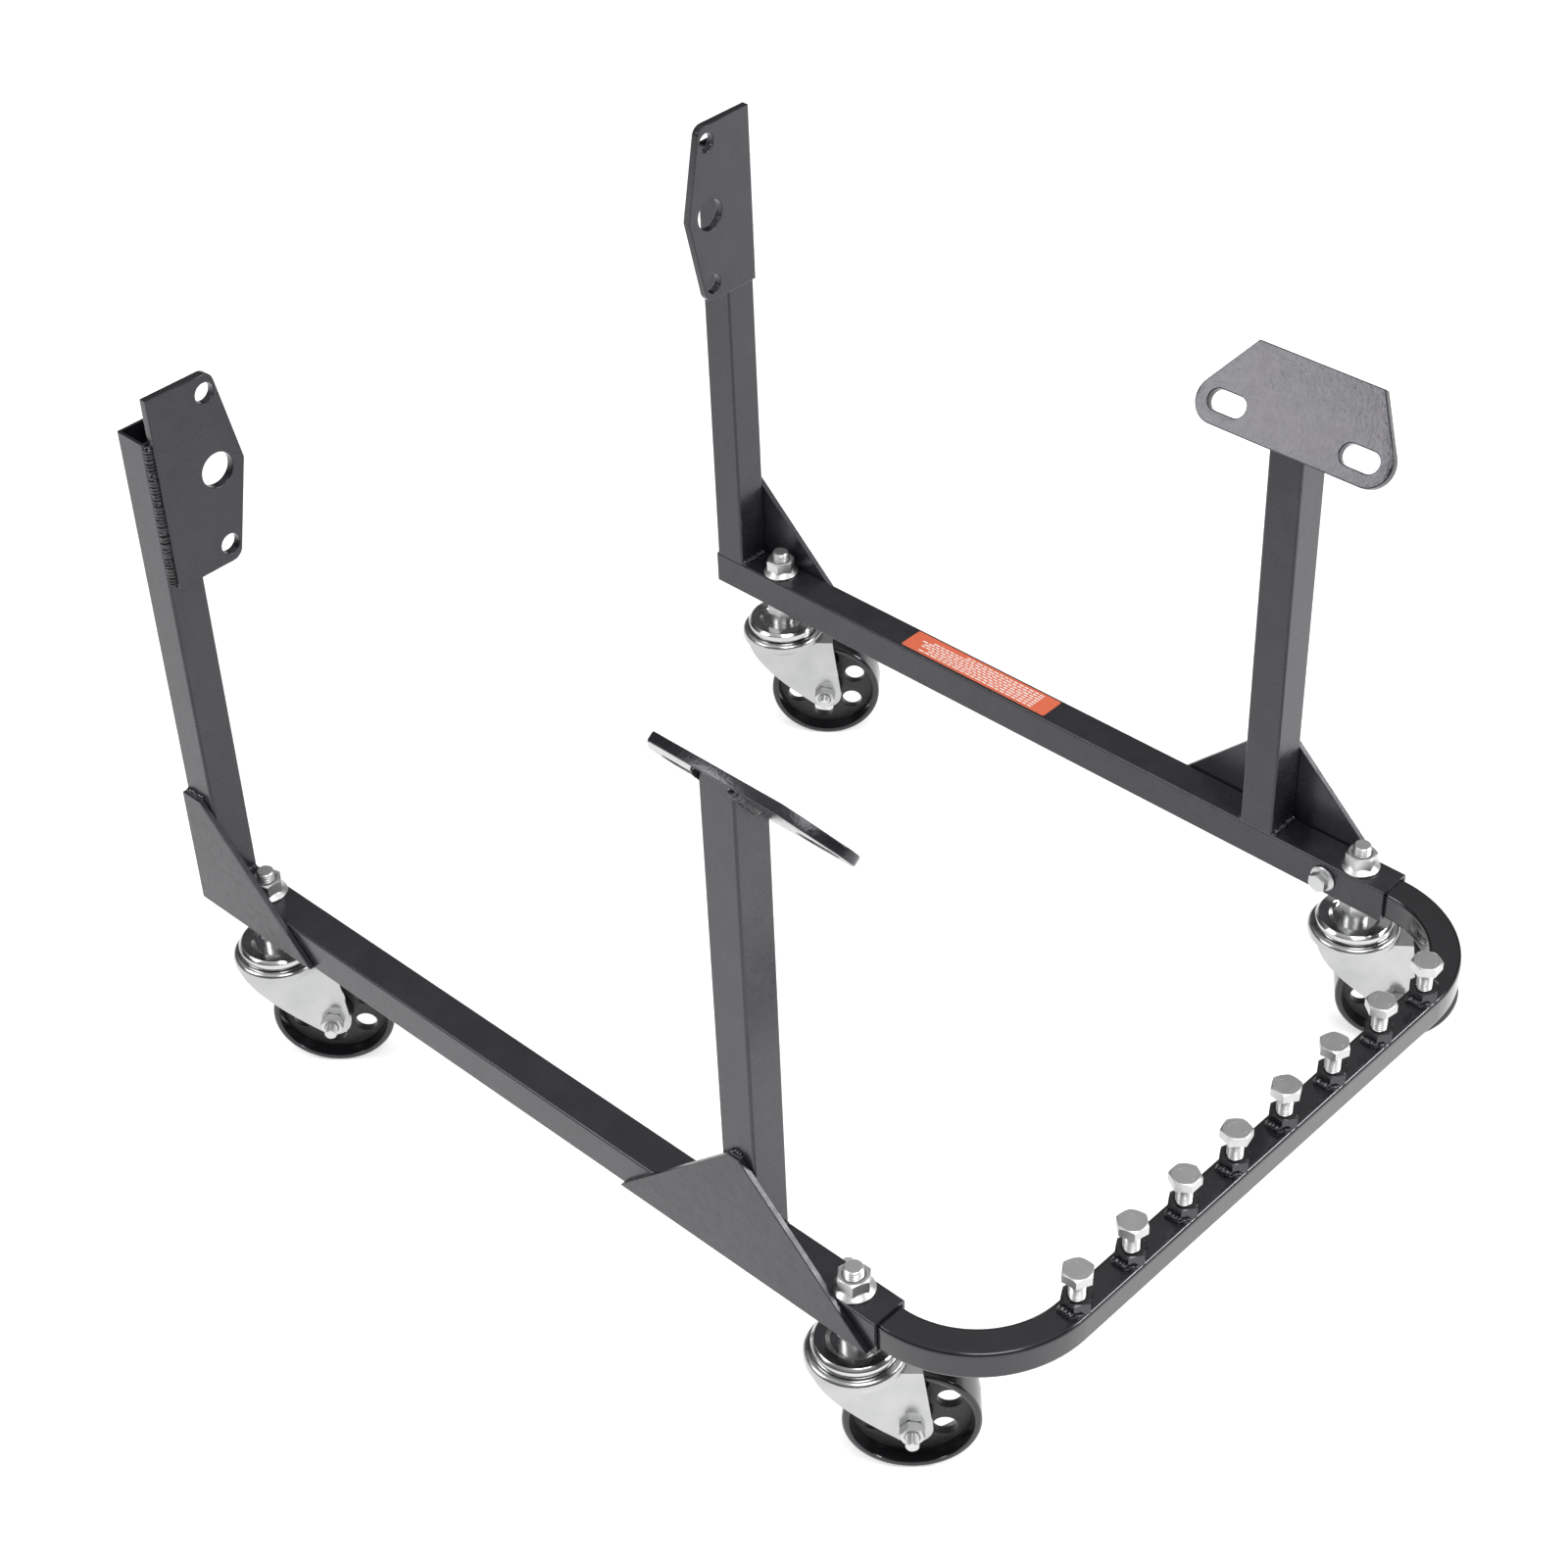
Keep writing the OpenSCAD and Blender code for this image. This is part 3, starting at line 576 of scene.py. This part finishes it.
def lock_bolts():
    """Flanged hex bolts through the rails' inner faces into the U bar."""
    flange = [(8.4, 0), (9, 0.5), (9, 1.2), (8.4, 1.8), (6.4, 2.5), (5.6, 3)]
    shank = [(3.9, -17), (3.9, 0.5)]
    head_up = Matrix.Translation((0, 0, 1.5 * MM))
    shape = Shape()
    for bolt in islands("lock_bolts"):
        c = middle(bolt)
        inward = 1 if c.x < 0 else -1
        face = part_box("left_rail")[1].x if inward > 0 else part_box("right_rail")[0].x
        at = sideways((face, c.y, c.z), (inward, 0, 0))
        shape.skin(lathe_mm(flange), at)
        shape.skin(hex_rings(12 * MM, 6.5 * MM, low=False), at @ head_up)
        shape.skin(lathe_mm(shank), at)
    shape.build("lock_bolts_look", ["bolt"], "frame", ["lock_bolts"], sharp=25)


# ---------- casters ----------
def axle(c):
    """Hex bolt through the fork, with its nut and a threaded tail on the other side."""
    shank_r, tail_end = 3.9 * MM, 30 * MM
    tail = CHEEK + 3 * MM
    joint = JOINTS[f"roll_{c}"]
    at = sideways(Vector(joint["pos_m"]), joint["axis"])
    bolt = Shape()
    bolt.skin(lathe([(shank_r, -CHEEK - 1 * MM), (shank_r, tail)], 32), at)
    bolt.skin(thread_rings(4 * MM, 1.25 * MM, tail, tail_end, tip_up=True), at)
    back = at @ Matrix.Translation((0, 0, -CHEEK)) @ Matrix.Rotation(math.pi, 4, "X")
    bolt.skin(hex_rings(AXLE_AF, 5.3 * MM, low=False), back)
    bolt.build(f"axle_bolt_{c}_look", ["bolt"], f"caster_{c}", [f"axle_bolt_{c}"], sharp=25)
    nut = Shape()
    front = at @ Matrix.Translation((0, 0, CHEEK)) @ Matrix.Rotation(math.radians(18), 4, "Z")
    nut.skin(hex_rings(AXLE_AF, 6.5 * MM, hole=4.1 * MM), front)
    nut.build(f"axle_nut_{c}_look", ["bolt"], f"caster_{c}", [f"axle_nut_{c}"], sharp=25)


def wheel(c):
    """Cast wheel: a smooth painted rim and tread, and a rough web with six holes and a hub."""
    lip = [(34, 3), (35.4, 10.8), (35.9, 11.7), (36.7, 12), (38.1, 12), (38.9, 11.55), (39.55, 10.9),
           (40, 10)]
    rim = [(r, -z) for r, z in lip] + lip[::-1] + [(33.2, 0)]
    end = [(6.05, 13.5), (9.6, 13.5), (10.2, 13.2), (10.6, 12.4), (11.9, 3.6), (12.6, 2.4)]
    hub = [(r, -z) for r, z in end] + end[::-1]
    web, web_d, hub_d = 6 * MM, 70 * MM, 20 * MM
    holes_r, hole_d = 23.4 * MM, 14.4 * MM
    joint = JOINTS[f"roll_{c}"]
    axis = Vector(joint["axis"])
    at = axes(Vector((-axis.y, axis.x, 0)), UP, axis, joint["pos_m"])
    shape = Shape()
    shape.skin(lathe_mm(rim, n=96), at, closed=True)
    shape.skin(lathe_mm(hub, n=64), at, mat=1, closed=True)
    holes = [round_hole(0, 0, hub_d, 48)]
    for k in range(6):
        a = math.radians(24 + 60 * k)
        holes.append(round_hole(holes_r * math.cos(a), holes_r * math.sin(a), hole_d, 36))
    slab(shape, round_hole(0, 0, web_d, 96), holes, web, at @ Matrix.Translation((0, 0, web / 2)), 0.8 * MM,
         mat=1)
    weighted(shape.build(f"wheel_{c}_look", ["tread", "cast"], f"rolling_{c}", [f"wheel_{c}"]))


# ---------- weld beads ----------
def frame_welds(side):
    """Beads at the post feet, along the gussets and behind both plates of one side frame."""
    s = SIDES[side]
    out = Vector((s, 0, 0))
    rail_lo, rail_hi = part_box(f"{side}_rail")
    face, inner = (rail_lo.x, rail_hi.x) if s < 0 else (rail_hi.x, rail_lo.x)
    end = Vector((1 * MM, 0, 0))
    shape = Shape()
    seed = 100 if s < 0 else 200
    for k, (post, way) in enumerate((("front_post", -1), ("front_post", 1), ("rear_post", -1))):
        lo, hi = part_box(f"{post}_{side}")
        y = lo.y if way < 0 else hi.y
        weld(shape, Vector((lo.x, y, rail_hi.z)) + end, Vector((hi.x, y, rail_hi.z)) - end, (0, way, 0), UP,
             3.6 * MM, seed + k)
    gusset_welds(shape, side, face, out, seed)
    b_lo, b_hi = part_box(f"bell_plate_{side}")
    edge = b_lo.x if s < 0 else b_hi.x
    low, high = b_lo.z + 1 * MM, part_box(f"rear_post_{side}")[1].z - 1 * MM
    weld(shape, (edge, b_hi.y, low), (edge, b_hi.y, high), out, (0, -1, 0), 4.0 * MM, seed + 20)
    weld(shape, (inner, b_hi.y, low), (inner, b_hi.y, high), -out, (0, 1, 0), 3.2 * MM, seed + 21)
    mount_plate_welds(shape, side, face, seed)
    shape.build(f"welds_{side}_look", ["gloss"], "frame", [f"welds_{side}"], sharp=60)


def gusset_welds(shape, side, face, out, seed):
    """One bead under each gusset, and one where its top meets the post."""
    for k, post in enumerate(("front", "rear")):
        lo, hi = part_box(f"{post}_gusset_{side}")
        weld(shape, (face, lo.y + 1 * MM, lo.z), (face, hi.y - 1 * MM, lo.z), out, (0, 0, -1), 2.2 * MM,
             seed + 10 + k)
        p_lo, p_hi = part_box(f"{post}_post_{side}")
        mid = (p_lo.y + p_hi.y) / 2
        end = mid + 4 * MM if post == "front" else p_hi.y - 1 * MM
        weld(shape, (face, mid - 4.5 * MM, hi.z), (face, end, hi.z), out, UP, 3.2 * MM, seed + 15 + k)


def mount_plate_welds(shape, side, face, seed):
    """Two beads under the sloping plate, down the sides of its post."""
    s = SIDES[side]
    plate_past, start_down, length = 0.6 * MM, 5 * MM, 32 * MM
    down = Vector((-s * math.cos(SLOPE), 0, -math.sin(SLOPE)))
    under = Vector((s * math.sin(SLOPE), 0, -math.cos(SLOPE)))
    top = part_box(f"mount_plate_{side}")[1].z
    lo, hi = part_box(f"front_post_{side}")
    for k, (y, way) in enumerate(((lo.y, -1), (hi.y, 1))):
        start = Vector((face + s * plate_past, y, top)) + under * PLATE + down * start_down
        weld(shape, start, start + down * length, (0, way, 0), under, 3.4 * MM, seed + 30 + k)


# ---------- label ----------
def label():
    """An orange sticker; its print is plain bars, with no words."""
    rows, bar_half, gap = 7, 0.55 * MM, 1.1 * MM
    lo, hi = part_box("label")
    w, length, top = hi.x - lo.x, hi.y - lo.y, hi.z
    at = Matrix.Translation((lo.x + w / 2, lo.y + length / 2, 0))
    shape = Shape()
    sheet = rounded_rectangle(w, length, 1.6 * MM)
    shape.skin([[(x, y, lo.z) for x, y in sheet], [(x, y, top - 0.05 * MM) for x, y in sheet]], at)
    for k in range(rows):
        x = w * (-0.36 + 0.72 * k / (rows - 1))
        short = 0.25 if k == rows - 1 else 0
        run = length * (0.80 - 0.12 * abs(noise_at((k * 1.7, 2.2, 0))) - short)
        first = y = -length * 0.40
        while y < first + run:
            dash = (3 + 5 * abs(noise_at((y * 400, k, 5)))) * MM
            bar = [(x - bar_half, y), (x + bar_half, y), (x + bar_half, y + dash), (x - bar_half, y + dash)]
            shape.skin([[(p, q, top - 0.1 * MM) for p, q in bar], [(p, q, top) for p, q in bar]], at, mat=1)
            y += dash + gap
    shape.build("label_look", ["orange", "white"], "frame", ["label"])


def rounded_rectangle(w, h, r):
    points = []
    for cx, cy, start in ((1, 1, 0), (-1, 1, 90), (-1, -1, 180), (1, -1, 270)):
        points += arc(cx * (w / 2 - r), cy * (h / 2 - r), r, start, start + 90, 6)
    return points


# ---------- CAD nodes that keep their shape ----------
def paint(node, mat, bevel=0.0):
    """Gives a CAD node a material and, as a modifier, softened edges."""
    o = NODES[node]
    o.data.materials.clear()
    o.data.materials.append(MAT[mat])
    if bevel:
        w = o.modifiers.new("weld", "WELD")
        w.merge_threshold = 0.01 * MM
        soften(o, bevel)


def carried_over():
    """Materials for the tubes, gussets, U bar and the plain parts of the casters."""
    for side in SIDES:
        paint(f"{side}_rail", "coat")
        for end in ("rear", "front"):
            paint(f"{end}_post_{side}", "coat")
            paint(f"{end}_gusset_{side}", "gusset", 0.5 * MM)
    paint("u_tube", "gloss")
    paint("lock_nuts", "steel")
    for c in CASTERS:
        paint(f"race_cap_{c}", "race", 0.5 * MM)
        paint(f"fork_{c}", "fork", 0.4 * MM)
        paint(f"balls_{c}", "steel")
        paint(f"spacer_{c}", "steel")


# ---------- camera, floor and light ----------
def camera():
    """Looks down at the stand from the front left, about 2 m away, with a slight roll."""
    place = (-1.0648, -1.0022, 1.3816)
    heading, pitch, roll = -45.06, -38.33, -2.44
    data = bpy.data.cameras.new("camera")
    data.lens = 68.9
    data.sensor_width = 36
    data.clip_end = 50
    o = bpy.data.objects.new("camera", data)
    bpy.context.collection.objects.link(o)
    at = Matrix.Translation(place)
    for angle, axis in ((heading, "Z"), (90 + pitch, "X"), (roll, "Z")):
        at = at @ Matrix.Rotation(math.radians(angle), 4, axis)
    o.matrix_world = at
    bpy.context.scene.camera = o


def area_light(name, place, aim, size, power):
    data = bpy.data.lights.new(name, "AREA")
    data.shape = "RECTANGLE"
    data.size, data.size_y = size
    data.energy = power
    o = bpy.data.objects.new(name, data)
    bpy.context.collection.objects.link(o)
    o.location = place
    o.rotation_euler = (Vector(aim) - Vector(place)).to_track_quat("-Z", "Y").to_euler()


def studio():
    """A pale floor and three soft lights: one for the sheen on the plates, a key and one along the edges."""
    me = bpy.data.meshes.new("floor")
    bm = bmesh.new()
    bmesh.ops.create_grid(bm, x_segments=4, y_segments=4, size=12)
    bm.to_mesh(me)
    floor = bpy.data.objects.new("floor", me)
    bpy.context.collection.objects.link(floor)
    pale = new_material("floor_pale", (0.80, 0.80, 0.80), 0, 0.9)
    shader(pale).inputs["Emission Color"].default_value = (1, 1, 1, 1)
    shader(pale).inputs["Emission Strength"].default_value = 0.5
    me.materials.append(pale)
    sky()
    area_light("sheen", (-1.6, 1.15, 1.75), (0.23, -0.16, 0.45), (0.9, 0.9), 22)
    area_light("key", (-0.9, -1.5, 2.8), (0, 0, 0.1), (1.4, 1.4), 40)
    area_light("edge", (1.45, -1.95, 1.6), (0, -0.3, 0.13), (1.3, 0.5), 45)


def sky():
    """A dim room: dark above the horizon and bright overhead, so bright metal shows soft bands."""
    tones = [(0.0, 0.9), (0.12, 0.75), (0.20, 0.10), (0.34, 0.07), (0.55, 0.22), (0.75, 0.7), (1.0, 1.0)]
    world = bpy.data.worlds.new("studio")
    world.use_nodes = True
    n = world.node_tree.nodes
    link = world.node_tree.links
    co = n.new("ShaderNodeTexCoord")
    split = n.new("ShaderNodeSeparateXYZ")
    ramp = n.new("ShaderNodeValToRGB")
    while len(ramp.color_ramp.elements) < len(tones):
        ramp.color_ramp.elements.new(0.5)
    for e, (place, tone) in zip(ramp.color_ramp.elements, tones):
        e.position = place
        e.color = (tone, tone, tone, 1)
    link.new(co.outputs["Generated"], split.inputs["Vector"])
    link.new(split.outputs["Z"], ramp.inputs["Fac"])
    link.new(ramp.outputs["Color"], n["Background"].inputs["Color"])
    n["Background"].inputs["Strength"].default_value = 0.9
    bpy.context.scene.world = world


carried_over()
for c in CASTERS:
    axle(c)
    wheel(c)
storage_bolts()
nut_spatter()
stems_and_nuts()
lock_bolts()
label()
for side in SIDES:
    bell_plate(side)
    mount_plate(side)
    frame_welds(side)
camera()
studio()
bpy.context.scene.view_settings.view_transform = "Standard"
